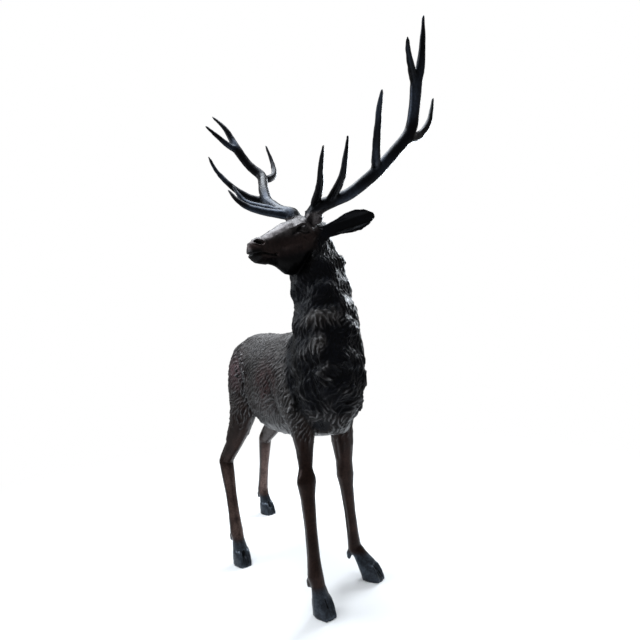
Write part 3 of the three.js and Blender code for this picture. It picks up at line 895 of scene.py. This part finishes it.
def crests_marked(mesh):
    """Writes how far each point stands above the eased surface, as a share of a usual crest."""
    points = points_of(mesh)
    low_relief = eased(points, edges_of(mesh), CREST_ROUNDS)
    crest = ((points - low_relief) * normals_of(mesh)).sum(1) / CREST_HEIGHT
    set_attribute(mesh, "crest", np.clip(crest, -CREST_LIMIT, CREST_LIMIT))


def thinned(mesh):
    piece = object_of("thinned", mesh)
    decimate = piece.modifiers.new("thin", "DECIMATE")
    decimate.ratio = TRIANGLES / sum(len(face.vertices) - 2 for face in mesh.polygons)
    return evaluated(piece)


crests_marked(casting)
casting = thinned(casting)


def marked(mesh, coat):
    """Copies each lock's strand and tone from the separate locks onto the fused casting."""
    source = object_of("locks", coat)
    tree = new_tree("lock marks")
    geometry = tree.nodes.new("NodeGroupInput").outputs[0]
    locks = add(tree, "GeometryNodeObjectInfo", {"Object": source})
    for name in ("strand", "tone"):
        nearest = add(tree, "GeometryNodeSampleNearestSurface", {
            "Mesh": locks.outputs["Geometry"], "Value": named(tree, name)}, data_type="FLOAT")
        stored = add(tree, "GeometryNodeStoreNamedAttribute", {
            "Geometry": geometry, "Name": name, "Value": nearest.outputs["Value"]},
            data_type="FLOAT", domain="POINT")
        geometry = stored.outputs[0]
    cast = add(tree, "GeometryNodeSetMaterial", {"Geometry": geometry, "Material": bronze})
    out = tree.nodes.new("NodeGroupOutput")
    tree.links.new(cast.outputs[0], out.inputs[0])
    piece = object_of("marked", mesh)
    piece.modifiers.new("marks", "NODES").node_group = tree
    mesh = evaluated(piece)
    bpy.data.objects.remove(source)
    return mesh


casting = marked(casting, coat)

# ---- Patina ----
# Cast bronze, darkened with sulphide and waxed. Painted highlights pick out the ridges, painted shade
# keeps the hollows near black, and handling and rain have left brown and rust-red places.


def patches(points, places, size):
    """A mask of soft round patches, set on both sides of the stag."""
    total = np.zeros(len(points))
    for side in both_sides(places):
        for place in side:
            total += np.exp(-(np.linalg.norm(points - np.array(place), axis=1) / size) ** 2)
    return np.clip(total, 0, 1)


# Places of the rusty and rosy patches, on the left side.
RUST_AT, RUST_SIZE = ((0.17, -0.05, 0.97), (0.17, 0.0, 0.90)), 0.085
ROSE_AT, ROSE_SIZE = ((0.16, 0.375, 1.0), (0.16, 0.33, 0.93)), 0.09
# How far the painted shade along each fold spreads, in metres.
FOLD_SHADE_WIDTHS = ((HAUNCH_FOLD, 0.022), (MANE_EDGE, 0.024), (ELBOW_FOLD, 0.02))


def zoned(mesh):
    """Writes a mask for each colour of the patina, and for its painted sheen, highlights and shade, onto the
    mesh.
    """
    points, normals = points_of(mesh), normals_of(mesh)
    part = regions(points)
    _, ahead, up = on_head(points).T
    _, y, z = points.T
    bare_of_mane = 1 - part["mane"]
    facing_up = ramp(normals[:, 2], -0.1, 0.9)
    trunk = np.clip(part["trunk"] + part["leg"] * ramp(z, 0.6, 0.8), 0, 1)
    hind_thigh = ramp(y, 0.1, 0.25) * (1 - ramp(z, 0.84, 1.02))
    forearm = (1 - ramp(z, 0.72, 0.88)) * (1 - ramp(y, -0.1, 0.05))
    thigh = np.maximum(hind_thigh, forearm) * bare_of_mane
    hoof = 1 - ramp(z, 0.100, 0.122)
    mottle = 0.5 + 0.5 * wander(points, 0.13, 21)
    rust = patches(points, RUST_AT, RUST_SIZE) * trunk * np.clip(0.4 + mottle, 0, 1)
    rose = patches(points, ROSE_AT, ROSE_SIZE) * trunk
    cheek = part["head"] * ramp(up, -165, -120) * (1 - ramp(up, -80, -45))
    # Painted shade: the underside of the head, and the lips, are near black.
    under = part["head"] * (1 - ramp(up, -165, -125))
    # Painted sheen: the top of the face, brow and nose bridge, is lighter.
    painted_face_sheen = part["head"] * ramp(up, -95, -50)
    lips = part["head"] * ramp(ahead, 325, 352) * (1 - ramp(up, -95, -80))
    # Painted shade: the trunk's downward faces, under the belly, are near black.
    underside_shade = trunk * ramp(-normals[:, 2], 0.1, 0.8)
    # Painted shade along the haunch fold, the mane's edge and the elbow fold.
    fold_shade = np.zeros(len(points))
    for path, width in FOLD_SHADE_WIDTHS:
        for side in both_sides(path):
            fold_shade = np.maximum(fold_shade, np.exp(-(distance_to(side, points)[0] / width) ** 2))
    side = np.stack([ahead, up], 1)
    nostril = oval_share(NOSTRIL_AT, NOSTRIL_HALF, NOSTRIL_TILT, side)
    shade = np.maximum.reduce([
        0.75 * np.exp(-oval_share((140, -50), (32, 17), 22, side) ** 2),
        0.6 * (1 - ramp(oval_share(EYE_AT, (33, 25), EYE_TILT, side), 0.7, 1.1)),
        1 - ramp(nostril, 0.7, 1.0),
        0.8 * np.exp(-(line_gap(MOUTH, side) / 5) ** 2),
    ])
    frost = part["antler"] * ramp(wander(points, 0.3, 41), 0.1, 0.9)
    # Painted highlight on the forward faces of the hind cannons.
    shank = (1 - ramp(z, 0.42, 0.5)) * ramp(z, 0.1, 0.13)
    cannon_highlight = shank * ramp(y, 0.1, 0.2) * ramp(-normals[:, 1], 0.0, 0.8)
    zones = {
        "frost": frost, "cannon_highlight": cannon_highlight, "shade": shade * part["head"],
        # Painted sheen: the trunk's upward faces are lighter.
        "hide": trunk, "painted_top_sheen": trunk * facing_up, "rust": rust, "rose": rose * bare_of_mane,
        "thigh": np.clip(thigh, 0, 1), "underside_shade": underside_shade, "hoof": hoof, "fold_shade": fold_shade * 0.85,
        "cheek": cheek, "painted_face_sheen": painted_face_sheen, "jaw_shade": np.clip(under + lips, 0, 1),
        "horn": np.maximum(part["antler"], part["ear"]),
    }
    for name, values in zones.items():
        set_attribute(mesh, name, values)


zoned(casting)

# Each zone's colour. The sheen, highlights and shade among them are painted light.
ZONES = (
    # zone, colour
    ("hide", "363230"), ("painted_top_sheen", "787674"), ("rust", "50302f"), ("rose", "74585c"),
    ("thigh", "2d1e19"), ("cannon_highlight", "6a5852"), ("underside_shade", "050506"), ("painted_face_sheen", "5c5858"),
    ("cheek", "372a28"), ("jaw_shade", "070608"), ("horn", "090c13"), ("frost", "2c3440"),
    ("hoof", "434b54"), ("fold_shade", "040405"), ("shade", "050506"),
)
MANE_COLOUR = "080c16"
# Painted shade for the hollows of the relief.
HOLLOW_SHADE_COLOUR = "020304"
# Painted highlight for the crests of the hide.
RIDGE_HIGHLIGHT_COLOUR = "8c8c8e"
# Thin washes that darken what lies under them.
BLOTCH_WASH, GRIT_WASH, LOCK_WASH = "7c7078", "6e6464", "707070"
# The strands' spacing over a lock, in millimetres.
STRAND_PITCH_MM = 4.5


def srgb(code):
    """An sRGB hex colour as the linear values that nodes take."""
    parts = [int(code[k:k + 2], 16) / 255 for k in (0, 2, 4)]
    return [p / 12.92 if p <= 0.04045 else ((p + 0.055) / 1.055) ** 2.4 for p in parts] + [1]


def patina(material):
    material.use_nodes = True
    tree = material.node_tree
    shader = tree.nodes["Principled BSDF"]
    coords = tree.nodes.new("ShaderNodeTexCoord").outputs["Object"]

    def mark(name):
        return add(tree, "ShaderNodeAttribute", attribute_name=name).outputs["Fac"]

    def mix(share, a, b, how="MIX"):
        return add(tree, "ShaderNodeMix", {"Factor": share, 6: a, 7: b},
                   data_type="RGBA", blend_type=how).outputs[2]

    def scaled(value, *settings):
        names = ("From Min", "From Max", "To Min", "To Max")
        ends = dict(zip(names, settings))
        return add(tree, "ShaderNodeMapRange", {"Value": value, **ends}).outputs["Result"]

    def noise(scale, **more):
        return add(tree, "ShaderNodeTexNoise", {"Vector": coords, "Scale": scale, **more}).outputs["Fac"]

    def washed(share, under, code):
        return mix(share, under, mix(1.0, under, srgb(code), "MULTIPLY"))

    colour = srgb(MANE_COLOUR)
    for name, code in ZONES:
        colour = mix(mark(name), colour, srgb(code))
    blotch = noise(14.0, Detail=5.0, Roughness=0.6)
    colour = washed(scaled(blotch, 0.35, 0.65, 0.0, 0.6), colour, BLOTCH_WASH)
    grit = noise(110.0, Detail=4.0, Roughness=0.7)
    colour = washed(scaled(grit, 0.4, 0.62, 0.0, 0.55), colour, GRIT_WASH)
    # Painted highlight: the crests of the hide are lighter.
    crest = mark("crest")
    ridge_highlight = add(tree, "ShaderNodeMath", {
        0: scaled(crest, 0.1, 0.9, 0.0, 0.5), 1: mark("hide")}, operation="MULTIPLY")
    colour = mix(ridge_highlight.outputs[0], colour, srgb(RIDGE_HIGHLIGHT_COLOUR))
    # Painted shade: every hollow of the relief is darker, down to near black.
    colour = mix(scaled(crest, 0.1, -0.8, 0.0, 0.9), colour, srgb(HOLLOW_SHADE_COLOUR))
    colour = washed(scaled(mark("tone"), 0.0, 1.0, 0.0, 0.35), colour, LOCK_WASH)
    tree.links.new(colour, shader.inputs["Base Color"])

    speckle = noise(60.0, Detail=4.0)
    tree.links.new(scaled(speckle, 0.3, 0.7, 0.34, 0.5), shader.inputs["Roughness"])
    shader.inputs["Metallic"].default_value = 0.92
    shader.inputs["Coat Weight"].default_value = 0.12
    shader.inputs["Coat Roughness"].default_value = 0.28

    phase = add(tree, "ShaderNodeMath", {
        0: mark("strand"), 1: 2 * math.pi / STRAND_PITCH_MM}, operation="MULTIPLY")
    strands = add(tree, "ShaderNodeMath", {0: phase.outputs[0]}, operation="SINE")
    hair = add(tree, "ShaderNodeBump", {
        "Strength": 0.45, "Distance": 1.2 * MM, "Height": strands.outputs[0]})
    pits = noise(160.0, Detail=3.0)
    skin = add(tree, "ShaderNodeBump", {
        "Strength": 0.25, "Distance": 1.0 * MM, "Height": pits, "Normal": hair.outputs[0]})
    tree.links.new(skin.outputs[0], shader.inputs["Normal"])


patina(bronze)
casting.shade_smooth()
piece = object_of("stag_bronze", casting)
casting.materials.clear()
casting.materials.append(bronze)
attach(piece, "root")
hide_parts("stag")

# ---- Studio ----
# The eye stands ahead of the stag and to its right, 1.2 m up, with a slight tilt. The floor is white
# paint that fades into a bright room, lit by a large soft window overhead and one on each side.
EYE = Vector((-1.1675, -2.1039, 1.2059))
AZIMUTH = math.radians(-33.29)
PITCH = math.radians(0.98)
ROLL = math.radians(3.31)
SENSOR_MM = 36
# The focal length and the middle of the view, as shares of the view's width.
FOCAL_SHARE = 0.74796875
MIDDLE = (0.510296875, 0.497125)


def camera_placed():
    flat = Vector((-math.sin(AZIMUTH), math.cos(AZIMUTH), 0))
    forward = flat * math.cos(PITCH) + Vector((0, 0, math.sin(PITCH)))
    level = Vector((math.cos(AZIMUTH), math.sin(AZIMUTH), 0))
    plumb = forward.cross(level)
    right = level * math.cos(ROLL) + plumb * math.sin(ROLL)
    down = plumb * math.cos(ROLL) - level * math.sin(ROLL)
    lens = bpy.data.cameras.new("camera")
    lens.sensor_width = SENSOR_MM
    lens.lens = SENSOR_MM * FOCAL_SHARE
    lens.shift_x = 0.5 - MIDDLE[0]
    lens.shift_y = MIDDLE[1] - 0.5
    camera = object_of("camera", lens)
    turned = Matrix((right, -down, -forward)).transposed().to_4x4()
    camera.matrix_world = Matrix.Translation(EYE) @ turned
    bpy.context.scene.camera = camera


camera_placed()

FLOOR_RADIUS = 5
FLOOR_SIDES = 96
FLOOR_FADE = (0.4, 3.2)
# How bright the floor's far part and the room are to what they light. To the eye both are white.
FLOOR_GLOW = 0.3
ROOM_GLOW = 0.28
WHITE = (1, 1, 1, 1)


def brightness(tree, unseen):
    """1 as the eye sees it, and `unseen` as it lights the stag."""
    seen = tree.nodes.new("ShaderNodeLightPath").outputs["Is Camera Ray"]
    return add(tree, "ShaderNodeMapRange", {"Value": seen, "To Min": unseen, "To Max": 1.0}).outputs["Result"]


def floor_laid():
    mesh = bpy.data.meshes.new("floor")
    angles = [k * 2 * math.pi / FLOOR_SIDES for k in range(FLOOR_SIDES)]
    rim = [(FLOOR_RADIUS * math.cos(angle), FLOOR_RADIUS * math.sin(angle), 0) for angle in angles]
    mesh.from_pydata(rim, [], [tuple(range(FLOOR_SIDES))])
    floor = object_of("floor", mesh)
    paint = bpy.data.materials.new("white floor paint")
    paint.use_nodes = True
    tree = paint.node_tree
    plain = tree.nodes["Principled BSDF"]
    plain.inputs["Base Color"].default_value = srgb("ebebeb")
    plain.inputs["Roughness"].default_value = 0.9
    coords = tree.nodes.new("ShaderNodeTexCoord").outputs["Object"]
    reach = add(tree, "ShaderNodeVectorMath", {0: coords}, operation="LENGTH").outputs["Value"]
    fade = add(tree, "ShaderNodeMapRange", {
        "Value": reach, "From Min": FLOOR_FADE[0], "From Max": FLOOR_FADE[1]},
        interpolation_type="SMOOTHSTEP")
    glow = add(tree, "ShaderNodeEmission", {"Color": WHITE, "Strength": brightness(tree, FLOOR_GLOW)})
    blend = add(tree, "ShaderNodeMixShader", {
        0: fade.outputs["Result"], 1: plain.outputs[0], 2: glow.outputs[0]})
    tree.links.new(blend.outputs[0], tree.nodes["Material Output"].inputs["Surface"])
    mesh.materials.append(paint)


floor_laid()

LAMPS = (
    # name, place, size in metres, power in watts
    ("overhead", (-0.4, 0.6, 4.6), 3.6, 290),
    ("right window", (3.0, 1.4, 2.6), 1.8, 150),
    ("left window", (-3.0, 2.2, 2.4), 1.8, 60),
)
LAMP_COLOUR = (0.88, 0.94, 1.0)
LAMP_AIM = Vector((0, 0, 1.1))


def room_lit():
    world = bpy.data.worlds.new("world")
    bpy.context.scene.world = world
    world.use_nodes = True
    tree = world.node_tree
    air = tree.nodes["Background"]
    air.inputs["Color"].default_value = WHITE
    tree.links.new(brightness(tree, ROOM_GLOW), air.inputs["Strength"])
    for name, place, size, power in LAMPS:
        light = bpy.data.lights.new(name, "AREA")
        light.size = size
        light.energy = power
        light.color = LAMP_COLOUR
        lamp = object_of(name, light)
        lamp.location = place
        lamp.rotation_euler = (LAMP_AIM - Vector(place)).to_track_quat("-Z", "Y").to_euler()


room_lit()
bpy.context.scene.view_settings.view_transform = "Standard"
